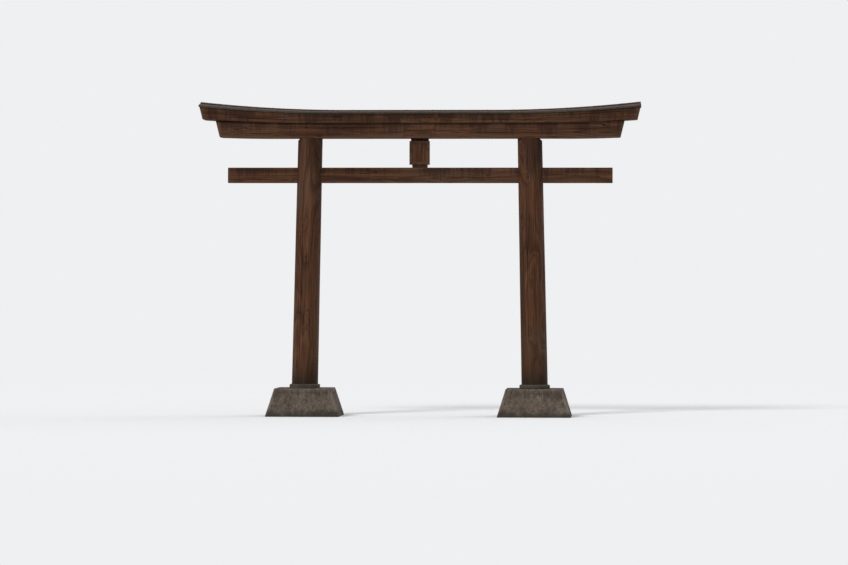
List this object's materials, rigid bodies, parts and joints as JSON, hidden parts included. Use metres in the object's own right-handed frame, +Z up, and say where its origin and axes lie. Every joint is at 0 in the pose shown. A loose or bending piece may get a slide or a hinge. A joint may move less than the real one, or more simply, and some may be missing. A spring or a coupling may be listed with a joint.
{
  "type": "torii gate",
  "caption": "Timber torii gate: leaning round pillars on stone plinths, tie beam, double lintel with upswept ends, central strut and bare tablet.",
  "frame": {"origin": "middle of the ground under the gate, halfway between the two plinths, in the plane of their undersides", "axes": "+X along the lintels towards the right-hand pillar, +Y through the gate away from the side with the tablet, +Z up"},
  "size_m": [7.502, 1.25, 5.341],
  "materials": {
    "plinth_stone": "rough hewn grey-brown stone, darker and damp towards the ground",
    "ring_stone": "dressed dark stone ring, worn smooth",
    "pillar_timber": "dark weathered umber timber, grain upright, fine drying cracks",
    "beam_timber": "dark weathered umber timber, grain along the beam",
    "cap_copper": "sheet copper over boards, dark brown oxide with dull green at the edges",
    "tablet_timber": "dark weathered boards, bare",
    "black_iron": "forged iron, black with thin rust"
  },
  "bodies": {
    "root": {"left_plinth": "plinth_stone", "right_plinth": "plinth_stone", "left_foot_ring": "ring_stone", "right_foot_ring": "ring_stone", "left_pillar": "pillar_timber", "right_pillar": "pillar_timber", "tie_beam": "beam_timber", "lower_lintel_left": "beam_timber", "lower_lintel_right": "beam_timber", "top_lintel_left": "beam_timber", "top_lintel_right": "beam_timber", "cap_front_left": "cap_copper", "cap_front_right": "cap_copper", "cap_back_left": "cap_copper", "cap_back_right": "cap_copper", "ridge_left": "cap_copper", "ridge_right": "cap_copper", "strut": "beam_timber", "tablet_panel": "tablet_timber", "tablet_head": "tablet_timber", "tablet_sill": "tablet_timber", "tablet_left_stile": "tablet_timber", "tablet_right_stile": "tablet_timber", "tablet_left_hook": "black_iron", "tablet_right_hook": "black_iron", "tablet_left_lug": "black_iron", "tablet_right_lug": "black_iron"}
  },
  "joints": []
}
